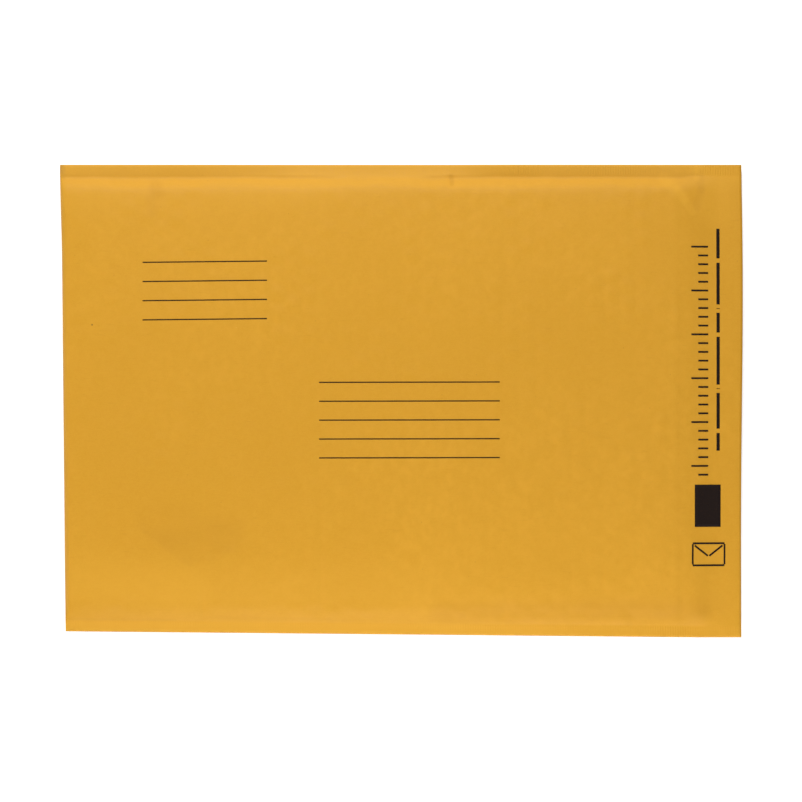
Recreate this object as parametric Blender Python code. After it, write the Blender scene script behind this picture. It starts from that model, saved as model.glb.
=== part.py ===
"""A padded kraft mailer that lies on its back, empty, with its flap open.

One sheet of kraft paper is folded at the left end (-X). Its front half runs on past the pocket's lip
as the flap (+X), and its back half ends at the lip. A pouch of bubble film lines it, and both side
seams hold the film's welded edges between the two halves of the paper. Metres, +Z up, +Y is the top
edge as the front is read. The origin is on the table, below the middle of the outline.
"""

import math

import bmesh
import bpy
from mathutils import Vector

# Outline, seen from the front
pocket_length = 0.3824
flap_length = 0.0248
mouth_width = 0.2829
fold_width = 0.2793
seam_width = 0.0066
fold_slant = 0.0026
corner_flare = 0.0008
corner_flare_reach = 0.060
flap_wave = 0.0005

# Paper and film
paper = 0.0002
bond_gap = 0.00025
film_weld = 0.0004
film_wall = 0.0032
lip_margin = 0.0132

# Heights above the table
seam_level = 0.0046
nose_height = 0.0088
crown_height = 0.0136
crown_left_at_mouth = 0.85
flap_rise = 0.0050
flap_droop = 0.0008
top_seam_curl = -0.0003
low_seam_curl = 0.0007

# How far each rise of the wall takes
shoulder_run = 0.0090
under_run = 0.0100
crown_side_run = 0.120
crown_fold_run = 0.075
crown_mouth_run = 0.110
swell_power = 3.5
nose_roundness = 0.9

# Places on the front are (distance from the fold, distance from the top edge)

# Wear: a soft dent near the low left corner and a long valley above the low seam
dent_place = (0.0801, 0.2217)
dent_size = (0.042, 0.022)
dent_depth = 0.0012
valley_start = (0.1246, 0.2525)
valley_end = (0.3586, 0.2305)
valley_width = 0.014
valley_fade = 0.050
valley_depth = 0.0008

# The pocket inside the film
pocket_slit = 0.0003
pocket_side_margin = 0.0030
pocket_fold_margin = 0.0012
cutter_overrun = 0.020

# Seal on the flap's inner side
adhesive_inset = 0.0036
adhesive_width = 0.0165
adhesive_thickness = 0.0002
liner_thickness = 0.00015
liner_overhang = 0.0020

# Printed rules: the left end of the first one, and the pitch down to the next one
rule_width = 0.0005
ink_thickness = 0.00012
ink_gap = 0.0002
rule_segment = 0.012
return_rules = 4
return_rule_length = 0.0742
return_rule_start = (0.0493, 0.0587)
return_rule_pitch = 0.01145
return_rule_tilt = 0.0105
address_rules = 5
address_rule_length = 0.1077
address_rule_start = (0.1546, 0.1303)
address_rule_pitch = 0.01127
address_rule_tilt = 0.0021

# Mesh density
body_steps = 29
width_steps = 18
nose_steps = 6
pocket_steps = 14
crease_angle = math.radians(35)

half_length = (pocket_length + flap_length) / 2
fold_x = -half_length
lip_x = fold_x + pocket_length
flap_x = lip_x + flap_length
top_edge = mouth_width / 2
film_end = pocket_length - lip_margin
half_stack = paper + bond_gap + film_weld / 2
wall = paper + bond_gap + film_wall
nose_reach = nose_roundness * nose_height / 2


def clamp(t):
    return min(max(t, 0.0), 1.0)


def ease(t):
    """0 to 1, steep at first and level at the end, as a shoulder rises from a seam."""
    return math.sin(math.pi / 2 * clamp(t))


def swell(t):
    """0 to 1, as ease, with a longer level stretch."""
    return 1 - (1 - clamp(t)) ** swell_power


def smooth(t):
    t = clamp(t)
    return t * t * (3 - 2 * t)


def on_front(place):
    """A place given from the fold and the top edge, as x and y."""
    return Vector((fold_x + place[0], top_edge - place[1]))


def low_edge(s):
    """The low edge's y at s metres from the fold: the bag was cut a little narrower at the fold."""
    return top_edge - fold_width - (mouth_width - fold_width) * min(s / pocket_length, 1.0)


def fold_line(y):
    """The fold's x at y: it leans, and the top corner flares out."""
    share = (top_edge - y) / fold_width
    flare = smooth(1 - (top_edge - y) / corner_flare_reach)
    return fold_x + fold_slant * share - corner_flare * flare


def flap_edge(y):
    return flap_x + flap_wave * math.sin(2 * math.pi * y / mouth_width)


def plan_x(s, y):
    """The x of a place s metres from the fold, along the pocket and on over the flap."""
    if s <= pocket_length:
        start = fold_line(y)
        return start + (lip_x - start) * s / pocket_length
    return lip_x + (flap_edge(y) - lip_x) * (s - pocket_length) / flap_length


def edge_distance(s, y):
    return min(top_edge - y, y - low_edge(s))


def seam_curl(s, y):
    """How far a side seam's edge lifts: the top one hangs a little, the low one curls up."""
    outward = clamp(1 - edge_distance(s, y) / seam_width)
    return outward * (top_seam_curl if y > 0 else low_seam_curl)


def seam_half(s):
    """Half the seam's thickness: with no film between, the papers meet past the film's end."""
    bare = smooth((s - film_end) / (lip_margin / 2))
    return half_stack + (paper + bond_gap / 2 - half_stack) * bare


def wear(x, y):
    """How far the dent and the valley press the front down."""
    from_dent = Vector((x, y)) - on_front(dent_place)
    spread = (from_dent.x / dent_size[0]) ** 2 + (from_dent.y / dent_size[1]) ** 2
    dent = dent_depth * math.exp(-spread)
    run = on_front(valley_end) - on_front(valley_start)
    from_start = Vector((x, y)) - on_front(valley_start)
    along = from_start.dot(run.normalized())
    off_line = (from_start - along * run.normalized()).length
    ends = smooth(along / valley_fade) * smooth((run.length - along) / valley_fade)
    return dent + valley_depth * ends * math.exp(-((off_line / valley_width) ** 2))


def front_height(s, y):
    """The front paper's outer face above the table."""
    inside = edge_distance(s, y) - seam_width
    seam_top = seam_level + seam_half(s)
    at_film_end = crown_left_at_mouth + (1 - crown_left_at_mouth) * swell(
        (film_end - s) / crown_mouth_run
    )
    fullness = swell(inside / crown_side_run) * swell(s / crown_fold_run) * at_film_end
    padded = nose_height - seam_top + (crown_height - nose_height) * fullness
    bare = flap_rise * swell(inside / (mouth_width / 2))
    past_lip = clamp((s - pocket_length) / flap_length)
    bare -= flap_droop * past_lip**2 * ease(inside / shoulder_run)
    padded = ease(inside / shoulder_run) * (padded - wear(plan_x(s, y), y))
    free = smooth((s - film_end) / (lip_margin + flap_length / 2))
    return seam_top + seam_curl(s, y) + padded + (bare - padded) * free


def back_height(s, y):
    """The back paper's outer face: level on the table but for the rise to the side seams."""
    rise = 1 - ease((edge_distance(s, y) - seam_width) / under_run)
    return (seam_level - seam_half(s) + seam_curl(s, y)) * rise


def nose_depth(y):
    """How far in from the fold line the fold's round nose reaches."""
    return nose_roundness * (front_height(0, y) - back_height(0, y)) / 2


def sheet_point(place, y_place):
    """A point of the folded sheet's outer face.

    place is ("front", s), ("nose", turn from 0 at the front to 1 at the back) or ("back", s), and
    y_place is (share of the width from the low edge, metres added to it).
    """
    side, value = place
    share, offset = y_place
    s = 0.0 if side == "nose" else value
    y = low_edge(s) + share * (top_edge - low_edge(s)) + offset
    deep = nose_depth(y)
    if side == "nose":
        high, low = front_height(deep, y), back_height(deep, y)
        turn = math.pi * value
        s = deep * (1 - math.sin(turn))
        z = (high + low) / 2 + (high - low) / 2 * math.cos(turn)
        return Vector((plan_x(s, y), y, z))
    s = max(s, deep)
    z = front_height(s, y) if side == "front" else back_height(s, y)
    return Vector((plan_x(s, y), y, z))


def steps(start, end, count):
    """count + 1 values from start to end."""
    return [start + (end - start) * k / count for k in range(count + 1)]


def pocket_places():
    """Distances from the fold of the stations that both halves share, up to the film's end."""
    return [nose_reach] + steps(2 * nose_reach, film_end, body_steps)


def margin_places():
    """The stations of the paper's bare margin, from the film's end to the lip."""
    return steps(film_end, pocket_length, 3)[1:]


def adhesive_places():
    start = pocket_length + adhesive_inset
    return steps(start, start + adhesive_width, 2)


def flap_places():
    return adhesive_places() + [adhesive_places()[-1] + liner_overhang, pocket_length + flap_length]


def folded_places(front, back):
    """The walk along the sheet from the front's far end, round the nose, to the back's far end."""
    nose = [("nose", turn) for turn in steps(0, 1, nose_steps)[1:-1]]
    return [("front", s) for s in reversed(front)] + nose + [("back", s) for s in back]


def edge_insets():
    """Stations in from a side edge: the seam's two lines and the curve of the shoulder."""
    shoulder = [0.25, 0.5, 0.75, 1.0]
    return [0.0, seam_width] + [seam_width + part * shoulder_run for part in shoulder]


def width_places(insets):
    """Stations across the sheet, from the low edge to the top edge."""
    last = insets[-1]
    low = [(0.0, inset) for inset in insets]
    middle = [(share, last * (1 - 2 * share)) for share in steps(0, 1, width_steps)[1:-1]]
    top = [(1.0, -inset) for inset in reversed(insets)]
    return low + middle + top


def grid_rows(bm, row_count, column_count):
    """A flat grid, as rows of its vertices."""
    made = bmesh.ops.create_grid(
        bm, x_segments=column_count - 1, y_segments=row_count - 1, size=0.5
    )
    order = sorted(made["verts"], key=lambda v: (round(v.co.y, 5), round(v.co.x, 5)))
    return [order[k * column_count : (k + 1) * column_count] for k in range(row_count)]


def bend_grid(bm, alongs, acrosses, depth):
    """A grid bent onto the sheet and pressed in by depth, as rows of its vertices."""
    rows = grid_rows(bm, len(alongs), len(acrosses))
    for along, row in zip(alongs, rows):
        for across, vert in zip(acrosses, row):
            vert.co = sheet_point(along, across)
    bm.normal_update()
    inward = {vert: -vert.normal for vert in bm.verts}
    for vert, direction in inward.items():
        vert.co += direction * depth
    return rows


def add_object(name, bm, material, parent):
    bm.normal_update()
    mesh = bpy.data.meshes.new(name)
    bm.to_mesh(mesh)
    bm.free()
    mesh.shade_smooth()
    mesh.set_sharp_from_angle(angle=crease_angle)
    if material:
        mesh.materials.append(material)
    piece = bpy.data.objects.new(name, mesh)
    piece.parent = parent
    bpy.context.collection.objects.link(piece)
    return piece


def thicken(piece, thickness, offset):
    solid = piece.modifiers.new("thickness", "SOLIDIFY")
    solid.thickness = thickness
    solid.offset = offset
    solid.use_even_offset = True


def add_sheet(name, alongs, acrosses, depth, thickness, material, parent):
    """A sheet that follows the folded form, depth under the paper's outer face."""
    bm = bmesh.new()
    bend_grid(bm, alongs, acrosses, depth)
    piece = add_object(name, bm, material, parent)
    thicken(piece, thickness, -1)
    return piece


def add_lining(material, parent):
    """The film pouch: a pillow that fills the cover, hollowed by the pocket."""
    bm = bmesh.new()
    places = pocket_places()
    alongs = folded_places(places, places)
    rows = bend_grid(bm, alongs, width_places(edge_insets()), paper + bond_gap)
    count = len(places)
    fronts, backs = rows[:count], list(reversed(rows[-count:]))
    for column in (0, -1):
        for k in range(count - 1):
            front, front_next = fronts[k][column], fronts[k + 1][column]
            back, back_next = backs[k][column], backs[k + 1][column]
            bm.faces.new((front, front_next, back_next, back))
        bm.faces.new([row[column] for row in rows[count - 1 : len(rows) - count + 1]])
    for corners in zip(rows[0], rows[0][1:], rows[-1][1:], rows[-1]):
        bm.faces.new(corners)
    bmesh.ops.recalc_face_normals(bm, faces=bm.faces)
    lining = add_object("bubble_lining", bm, material, parent)
    hollow = lining.modifiers.new("pocket", "BOOLEAN")
    hollow.operation = "DIFFERENCE"
    hollow.solver = "EXACT"
    hollow.object = add_pocket_cutter(parent)


def pocket_point(s, across, upper):
    """A point of the pocket's ceiling or floor, which run straight on past the film's end."""
    held = min(s, film_end)
    share, offset = across
    y = low_edge(held) + share * (top_edge - low_edge(held)) + offset
    front, back = front_height(held, y), back_height(held, y)
    half = max((front - back) / 2 - wall, pocket_slit / 2)
    x = plan_x(held, y) + s - held
    return Vector((x, y, (front + back) / 2 + (half if upper else -half)))


def add_pocket_cutter(parent):
    """The space between the film's two walls, run out past the mouth."""
    start = 2 * nose_reach + pocket_fold_margin
    alongs = [start, start + wall] + steps(start + 3 * wall, film_end, pocket_steps)
    alongs.append(film_end + cutter_overrun)
    inset = seam_width + pocket_side_margin
    acrosses = width_places([inset + part * shoulder_run for part in (0, 0.5, 1, 2)])
    bm = bmesh.new()
    for upper in (True, False):
        rows = grid_rows(bm, len(alongs), len(acrosses))
        for s, row in zip(alongs, rows):
            for across, vert in zip(acrosses, row):
                vert.co = pocket_point(s, across, upper)
    bmesh.ops.bridge_loops(bm, edges=[edge for edge in bm.edges if edge.is_boundary])
    bmesh.ops.recalc_face_normals(bm, faces=bm.faces)
    cutter = add_object("pocket_cutter", bm, None, parent)
    cutter.hide_render = True
    cutter.display_type = "WIRE"
    return cutter


def add_rules(name, count, length, start, pitch, tilt, cover, material, parent):
    """Printed rules: strips of ink laid on the cover's front."""
    for number in range(count):
        bm = bmesh.new()
        bmesh.ops.create_grid(
            bm, x_segments=math.ceil(length / rule_segment), y_segments=1, size=0.5
        )
        for vert in bm.verts:
            vert.co.x = (vert.co.x + 0.5) * length
            vert.co.y *= rule_width
        rule = add_object(f"{name}_{number + 1}", bm, material, parent)
        left_end = on_front(start)
        rule.location = (left_end.x, left_end.y - number * pitch, 2 * crown_height)
        rule.rotation_euler.z = tilt
        press = rule.modifiers.new("on the paper", "SHRINKWRAP")
        press.wrap_method = "PROJECT"
        press.use_project_z = True
        press.use_negative_direction = True
        press.use_positive_direction = False
        press.target = cover
        press.offset = ink_gap
        thicken(rule, ink_thickness, 1)


def make_material(name, colour, roughness, transmission=0.0):
    material = bpy.data.materials.new(name)
    material.use_nodes = True
    shader = material.node_tree.nodes["Principled BSDF"]
    shader.inputs["Base Color"].default_value = (*colour, 1)
    shader.inputs["Roughness"].default_value = roughness
    shader.inputs["Metallic"].default_value = 0
    shader.inputs["Transmission Weight"].default_value = transmission
    material.diffuse_color = (*colour, 1)
    return material


def build():
    for old in list(bpy.data.objects):
        bpy.data.objects.remove(old)

    kraft = make_material("kraft_paper", (0.70, 0.34, 0.042), 0.75)
    film = make_material("bubble_film", (0.82, 0.86, 0.88), 0.3, 0.5)
    glue = make_material("adhesive", (0.86, 0.84, 0.74), 0.25)
    liner = make_material("liner_paper", (0.88, 0.88, 0.86), 0.4)
    ink = make_material("printing_ink", (0.011, 0.003, 0.001), 0.6)

    mailer = bpy.data.objects.new("mailer", None)
    bpy.context.collection.objects.link(mailer)

    pocket = pocket_places() + margin_places()
    walk = folded_places(pocket + flap_places(), pocket)
    widths = width_places(edge_insets())
    cover = add_sheet("kraft_cover", walk, widths, 0, paper, kraft, mailer)
    add_lining(film, mailer)

    shoulders = len(edge_insets()) - 1
    between = widths[shoulders:-shoulders]
    seal = [("front", s) for s in reversed(adhesive_places())]
    under_seal = paper + bond_gap
    add_sheet("adhesive_strip", seal, between, under_seal, adhesive_thickness, glue, mailer)
    backing = [("front", s) for s in reversed(flap_places()[:-1])]
    under_liner = under_seal + adhesive_thickness + bond_gap
    add_sheet("release_liner", backing, between, under_liner, liner_thickness, liner, mailer)

    add_rules(
        "return_rule",
        return_rules,
        return_rule_length,
        return_rule_start,
        return_rule_pitch,
        return_rule_tilt,
        cover,
        ink,
        mailer,
    )
    add_rules(
        "address_rule",
        address_rules,
        address_rule_length,
        address_rule_start,
        address_rule_pitch,
        address_rule_tilt,
        cover,
        ink,
        mailer,
    )


build()
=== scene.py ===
"""The looks of a padded kraft mailer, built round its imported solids.

A place on the folded sheet is given as s, the distance from the fold along the mailer, and y. Both
may be numpy arrays. Heights are those of the paper's outer face above the table, in metres.
"""

import math

import bmesh
import bpy
import numpy as np
from mathutils import Matrix, Vector


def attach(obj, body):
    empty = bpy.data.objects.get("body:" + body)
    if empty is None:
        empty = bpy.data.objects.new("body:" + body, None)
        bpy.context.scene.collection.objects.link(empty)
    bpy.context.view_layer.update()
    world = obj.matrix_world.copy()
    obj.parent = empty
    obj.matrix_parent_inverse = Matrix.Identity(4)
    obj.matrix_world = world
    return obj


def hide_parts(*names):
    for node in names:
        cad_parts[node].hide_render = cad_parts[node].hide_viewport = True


# the mailer's sizes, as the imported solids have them
POCKET_LENGTH = 0.3824
FLAP_LENGTH = 0.0248
MOUTH_WIDTH = 0.2829
FOLD_WIDTH = 0.2793
SEAM_WIDTH = 0.0066
FOLD_SLANT = 0.0026
CORNER_FLARE = 0.0008
CORNER_FLARE_REACH = 0.060
FLAP_WAVE = 0.0005
PAPER = 0.0002
BOND_GAP = 0.00025
FILM_WELD = 0.0004
FILM_WALL = 0.0032
LIP_MARGIN = 0.0132
SEAM_LEVEL = 0.0046
NOSE_HEIGHT = 0.0088
CROWN_HEIGHT = 0.0136
CROWN_LEFT_AT_MOUTH = 0.85
FLAP_RISE = 0.0050
FLAP_DROOP = 0.0008
TOP_SEAM_CURL = -0.0003
LOW_SEAM_CURL = 0.0007
SHOULDER_RUN = 0.0090
UNDER_RUN = 0.0100
CROWN_SIDE_RUN = 0.120
CROWN_FOLD_RUN = 0.075
CROWN_MOUTH_RUN = 0.110
SWELL_POWER = 3.5
NOSE_ROUNDNESS = 0.9
DENT_PLACE = (0.0801, 0.2217)
DENT_SIZE = (0.042, 0.022)
DENT_DEPTH = 0.0012
VALLEY_START = (0.1246, 0.2525)
VALLEY_END = (0.3586, 0.2305)
VALLEY_WIDTH = 0.014
VALLEY_FADE = 0.050
VALLEY_DEPTH = 0.0008
POCKET_SLIT = 0.0003
POCKET_SIDE_MARGIN = 0.0030
POCKET_FOLD_MARGIN = 0.0012
ADHESIVE_INSET = 0.0036
ADHESIVE_WIDTH = 0.0165
ADHESIVE_THICKNESS = 0.0002
LINER_THICKNESS = 0.00015
LINER_OVERHANG = 0.0020
RULE_WIDTH = 0.0005
RETURN_RULES = (4, 0.0742, (0.0493, 0.0587), 0.01145, 0.0105)
ADDRESS_RULES = (5, 0.1077, (0.1546, 0.1303), 0.01127, 0.0021)

FOLD_X = -(POCKET_LENGTH + FLAP_LENGTH) / 2
LIP_X = FOLD_X + POCKET_LENGTH
FLAP_X = LIP_X + FLAP_LENGTH
TOP_EDGE = MOUTH_WIDTH / 2
FILM_END = POCKET_LENGTH - LIP_MARGIN
HALF_STACK = PAPER + BOND_GAP + FILM_WELD / 2
WALL = PAPER + BOND_GAP + FILM_WALL
NOSE_REACH = NOSE_ROUNDNESS * NOSE_HEIGHT / 2

# what only the looks have
BUBBLE_PITCH = 0.0115
BUBBLE_ROW = BUBBLE_PITCH * math.sqrt(3)
BUBBLES_ACROSS = 14
NUMBERS_A_ROW = 97
BUBBLE_NUMBERS = 9973
BUBBLE_RADIUS = 0.0049
BUBBLE_TAPER = 0.93
BUBBLE_RIM = 0.0011
BUBBLE_CLEARANCE = 0.00012
LOWEST_BUBBLE = 0.0012
BUBBLE_SEAM_GAP = 0.0045
BUBBLE_FOLD_GAP = 0.004
BUBBLE_END_GAP = 0.0004
BUBBLE_SHOW = 0.00070
BUBBLE_SHOW_BACK = 0.00012
BUBBLE_DRIFT = 0.0012
FILM_SKIN = 0.00015
WELD_CLEARANCE = 0.00016
LAYER_GAP = 0.00002
LINER_NEAR_OVERHANG = 0.0008
INK_LIFT = 0.00009
INK_THICKNESS = 0.00008
INK_SPREAD = 0.0001
INK_CELL = 0.0018
ROW_STEP = 0.00195
BACK_ROW_STEP = 0.0032
COLUMNS = 118
SEAM_PARTS = (0.2, 0.45, 0.7, 0.88, 1)
SHARP_ANGLE = math.radians(40)

# how the looks differ from the solids' smooth form
SEAM_BLUR = 0.0012
SEAM_WAVE = 0.00020
LATE_RISE = 0.0013
LATE_DEPTHS = (0.0040, 0.0014, 0.0010)
SLACK_REACH = (0.008, 0.042)
SLACK_DEPTHS = (0.0014, 0.0022)
CROWN_SINK = 0.00045
CROWN_EDGE = 0.060
BROAD_SWELL = 0.00022
SMALL_SWELL = 0.00007
FILM_STEP = 0.00030
PUCKER = 0.00020
DENT_PRESS = 0.00030
SEAM_GROOVE = 0.00003
BACK_LIFT = 0.00012
WAVE_COUNT = 9
WAVE_SPREAD = 4.2

# the photograph's scale and middle, for marks that are placed by a pixel
METRES_A_PIXEL = 0.0005985
MIDDLE_PIXEL = (401.3, 401.05)
PHOTO_SIDE = 802
CAMERA_DISTANCE = 2.4
OUTLINE_LEVEL = 0.005


def clip(t):
    return np.clip(t, 0.0, 1.0)


def ease(t):
    """0 to 1, steep at first and level at the end, as a shoulder rises from a seam."""
    return np.sin(np.pi / 2 * clip(t))


def swell(t):
    """0 to 1, as ease, with a longer level stretch."""
    return 1 - (1 - clip(t)) ** SWELL_POWER


def smooth(t):
    t = clip(t)
    return t * t * (3 - 2 * t)


def rise(t, start, run):
    """0 up to start, and 1 from start + run on."""
    return smooth((t - start) / run)


def fall(t, end, run):
    """1 up to end - run, and 0 from end on."""
    return smooth((end - t) / run)


def bell(t):
    return np.exp(-(t**2))


def at_pixel(px, py):
    """The x and y of a pixel of the photograph."""
    return (px - MIDDLE_PIXEL[0]) * METRES_A_PIXEL, (MIDDLE_PIXEL[1] - py) * METRES_A_PIXEL


def spot(x, y, px, py, along, across):
    """1 at a pixel of the photograph, fading within along and across, both in metres."""
    middle_x, middle_y = at_pixel(px, py)
    return bell((x - middle_x) / along) * bell((y - middle_y) / across)


def pixel_line(from_px, from_py, to_px, to_py):
    """The start and the run of a line between two pixels of the photograph."""
    start = Vector(at_pixel(from_px, from_py))
    return start, Vector(at_pixel(to_px, to_py)) - start


def beside_line(x, y, start, run):
    """How far a place lies along a line, and how far to its left."""
    along = ((x - start.x) * run.x + (y - start.y) * run.y) / run.length
    off_line = ((y - start.y) * run.x - (x - start.x) * run.y) / run.length
    return along, off_line


def low_edge(s):
    """The low edge's y: the bag was cut a little narrower at the fold."""
    return TOP_EDGE - FOLD_WIDTH - (MOUTH_WIDTH - FOLD_WIDTH) * np.minimum(s / POCKET_LENGTH, 1.0)


def fold_line(y):
    """The fold's x: it leans, and the top corner flares out."""
    share = (TOP_EDGE - y) / FOLD_WIDTH
    flare = smooth(1 - (TOP_EDGE - y) / CORNER_FLARE_REACH)
    return FOLD_X + FOLD_SLANT * share - CORNER_FLARE * flare


def flap_edge(y):
    """The x of the flap's free edge, which waves a little."""
    return FLAP_X + FLAP_WAVE * np.sin(2 * np.pi * y / MOUTH_WIDTH)


def plan_x(s, y):
    """The x of a place, along the pocket and on over the flap."""
    start = fold_line(y)
    along_pocket = start + (LIP_X - start) * s / POCKET_LENGTH
    along_flap = LIP_X + (flap_edge(y) - LIP_X) * (s - POCKET_LENGTH) / FLAP_LENGTH
    return np.where(s <= POCKET_LENGTH, along_pocket, along_flap)


def plan_s(x, y):
    """The s of a place that is given by x and y."""
    start = fold_line(y)
    along_pocket = (x - start) / (LIP_X - start) * POCKET_LENGTH
    along_flap = POCKET_LENGTH + (x - LIP_X) / (flap_edge(y) - LIP_X) * FLAP_LENGTH
    return np.where(x <= LIP_X, along_pocket, along_flap)


def edge_distance(s, y):
    return np.minimum(TOP_EDGE - y, y - low_edge(s))


def past_seam(s, y):
    """How far inside the nearest side seam a place lies."""
    return edge_distance(s, y) - SEAM_WIDTH


def seam_curl(s, y):
    """How far a side seam's edge lifts: the top one hangs a little, the low one curls up."""
    outward = clip(1 - edge_distance(s, y) / SEAM_WIDTH)
    return outward * np.where(y > 0, TOP_SEAM_CURL, LOW_SEAM_CURL)


def on_seam(s, y):
    """1 on a side seam, 0 beside it."""
    return smooth(0.5 - past_seam(s, y) / SEAM_BLUR)


def painted_highlight(s, y):
    """0 to 1: the painted highlight, a lighter paper colour where the light catches the seams and
    the shoulders beside them.
    """
    inside, seam = past_seam(s, y), on_seam(s, y)
    # at the top the painted highlight also covers the shoulder, further in near the fold than near
    # the lip
    reach = 0.012 + 0.014 * fall(s, 0.22, 0.10)
    top = seam * fall(s, POCKET_LENGTH + 0.006, 0.006)
    top = top + 0.9 * (1 - seam) * clip(1 - inside / reach)
    # below, the seam and a band beyond the shoulder, and less of both near the lip
    low = seam * (1 - 0.5 * rise(s, 0.27, 0.06))
    beyond = rise(inside, 0.008, 0.008) * fall(inside, 0.042, 0.022)
    low = low + 0.40 * beyond * (1 - rise(s, 0.20, 0.08))
    return np.where(y > 0, top, low)


def seam_waver(s, y):
    """What both papers of a side seam share: its edge lifts and drops along the mailer."""
    outward = clip(1 - edge_distance(s, y) / SEAM_WIDTH) ** 0.8
    # the top edge hangs 1.6 mm in its middle, and the low edge up to 1.3 mm all along
    top = 0.0018 * rise(s, 0.222, 0.045) + 0.0015 * fall(s, 0.150, 0.060) - 0.0016
    top = top - 0.0004 * rise(s, 0.295, 0.040)
    top = top * fall(s, POCKET_LENGTH + 0.006, 0.030) + SEAM_WAVE * waves(s, 0 * y, 0.05, 35)
    low = SEAM_WAVE * waves(s, 0 * y, 0.06, 36) - 0.0013 + 0.0005 * rise(s, 0.24, 0.08)
    return outward * np.where(y > 0, top, low) - on_seam(s, y) * crease_depth(plan_x(s, y), y)


def seam_half(s):
    """Half the seam's thickness: with no film between, the papers meet past the film's end."""
    bare = rise(s, FILM_END, LIP_MARGIN / 2)
    return HALF_STACK + (PAPER + BOND_GAP / 2 - HALF_STACK) * bare


def in_dent(x, y, size):
    """1 at the dent's middle, fading within size, along and across."""
    dent_x, dent_y = FOLD_X + DENT_PLACE[0], TOP_EDGE - DENT_PLACE[1]
    return bell((x - dent_x) / size[0]) * bell((y - dent_y) / size[1])


def wear(x, y):
    """How far the dent and the valley press the front down."""
    start = Vector((FOLD_X + VALLEY_START[0], TOP_EDGE - VALLEY_START[1]))
    run = Vector((FOLD_X + VALLEY_END[0], TOP_EDGE - VALLEY_END[1])) - start
    along, off_line = beside_line(x, y, start, run)
    ends = smooth(along / VALLEY_FADE) * fall(along, run.length, VALLEY_FADE)
    valley = VALLEY_DEPTH * ends * bell(off_line / VALLEY_WIDTH)
    return DENT_DEPTH * in_dent(x, y, DENT_SIZE) + valley


def front_height(s, y):
    inside = past_seam(s, y)
    seam_top = SEAM_LEVEL + seam_half(s)
    at_film_end = CROWN_LEFT_AT_MOUTH + (1 - CROWN_LEFT_AT_MOUTH) * swell(
        (FILM_END - s) / CROWN_MOUTH_RUN
    )
    fullness = swell(inside / CROWN_SIDE_RUN) * swell(s / CROWN_FOLD_RUN) * at_film_end
    padded = NOSE_HEIGHT - seam_top + (CROWN_HEIGHT - NOSE_HEIGHT) * fullness
    padded = ease(inside / SHOULDER_RUN) * (padded - wear(plan_x(s, y), y))
    past_lip = clip((s - POCKET_LENGTH) / FLAP_LENGTH)
    bare = FLAP_RISE * swell(inside / (MOUTH_WIDTH / 2))
    bare = bare - FLAP_DROOP * past_lip**2 * ease(inside / SHOULDER_RUN)
    free = rise(s, FILM_END, LIP_MARGIN + FLAP_LENGTH / 2)
    return seam_top + seam_curl(s, y) + padded + (bare - padded) * free


def back_height(s, y):
    rising = 1 - ease(past_seam(s, y) / UNDER_RUN)
    return (SEAM_LEVEL - seam_half(s) + seam_curl(s, y)) * rising


def waves(x, y, length, seed):
    """A smooth uneven field, mostly within -1 to 1, whose swells are about length long."""
    draw = np.random.default_rng(seed)
    most = (2 * np.pi, 2 * np.pi, 1.5)
    total = 0.0
    for turn, phase, stretch in draw.uniform((0, 0, 0.7), most, (WAVE_COUNT, 3)):
        across = x * np.cos(turn) + y * np.sin(turn)
        total = total + np.sin(2 * np.pi * across / (length * stretch) + phase)
    return total / WAVE_SPREAD


def nearest_bubble(s, y):
    """Each place's distance from the nearest bubble of the film, and that bubble's number."""
    best, number = np.full(np.shape(s), 1.0), np.zeros(np.shape(s), int)
    for shift in (0.0, 0.5):
        across = np.round(y / BUBBLE_PITCH - shift)
        along = np.round(s / BUBBLE_ROW - shift)
        off_y, off_s = y - (across + shift) * BUBBLE_PITCH, s - (along + shift) * BUBBLE_ROW
        distance = np.hypot(off_y, off_s)
        named = ((along * 2 + 2 * shift) * NUMBERS_A_ROW + across).astype(int)
        number = np.where(distance < best, named, number)
        best = np.minimum(distance, best)
    return best, number


def bubble_marks(s, y, seed):
    """0 to 1: how strongly the bubbles under the paper show through it."""
    drift_s = s + BUBBLE_DRIFT * waves(s, y, 0.05, seed + 1)
    drift_y = y + BUBBLE_DRIFT * waves(s, y, 0.05, seed + 2)
    distance, number = nearest_bubble(drift_s, drift_y)
    strengths = np.random.default_rng(seed).uniform(0.15, 1.0, BUBBLE_NUMBERS)
    dome = clip(1 - (distance / (0.62 * BUBBLE_PITCH)) ** 2) ** 2
    uneven = clip(0.62 + 0.38 * waves(s, y, 0.07, seed + 3))
    return dome * strengths[number % BUBBLE_NUMBERS] * uneven


# creases of the front: from and to as pixels of the photograph, depth and width in metres
CREASES = (
    (451, 175, 452, 186, 0.00034, 0.0018),
    (153, 188, 157, 216, 0.00026, 0.0040),
    (700, 170, 701, 188, 0.00018, 0.0030),
    (701, 188, 697, 207, 0.00018, 0.0030),
    (321, 500, 321, 620, 0.00036, 0.0016),
    (203, 584, 203, 624, 0.00052, 0.0016),
    (512, 598, 500, 622, 0.00035, 0.0014),
    (268, 590, 380, 573, 0.00025, 0.0020),
    (125, 518, 190, 565, 0.00022, 0.0018),
    (190, 565, 258, 536, 0.00026, 0.0018),
    (88, 462, 86, 545, 0.00025, 0.0018),
    (240, 196, 236, 225, 0.00020, 0.0020),
    (590, 196, 640, 186, 0.00016, 0.0022),
    (520, 250, 560, 262, 0.00014, 0.0018),
    (616, 600, 640, 624, 0.00030, 0.0016),
    (560, 470, 568, 540, 0.00018, 0.0020),
)


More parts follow.
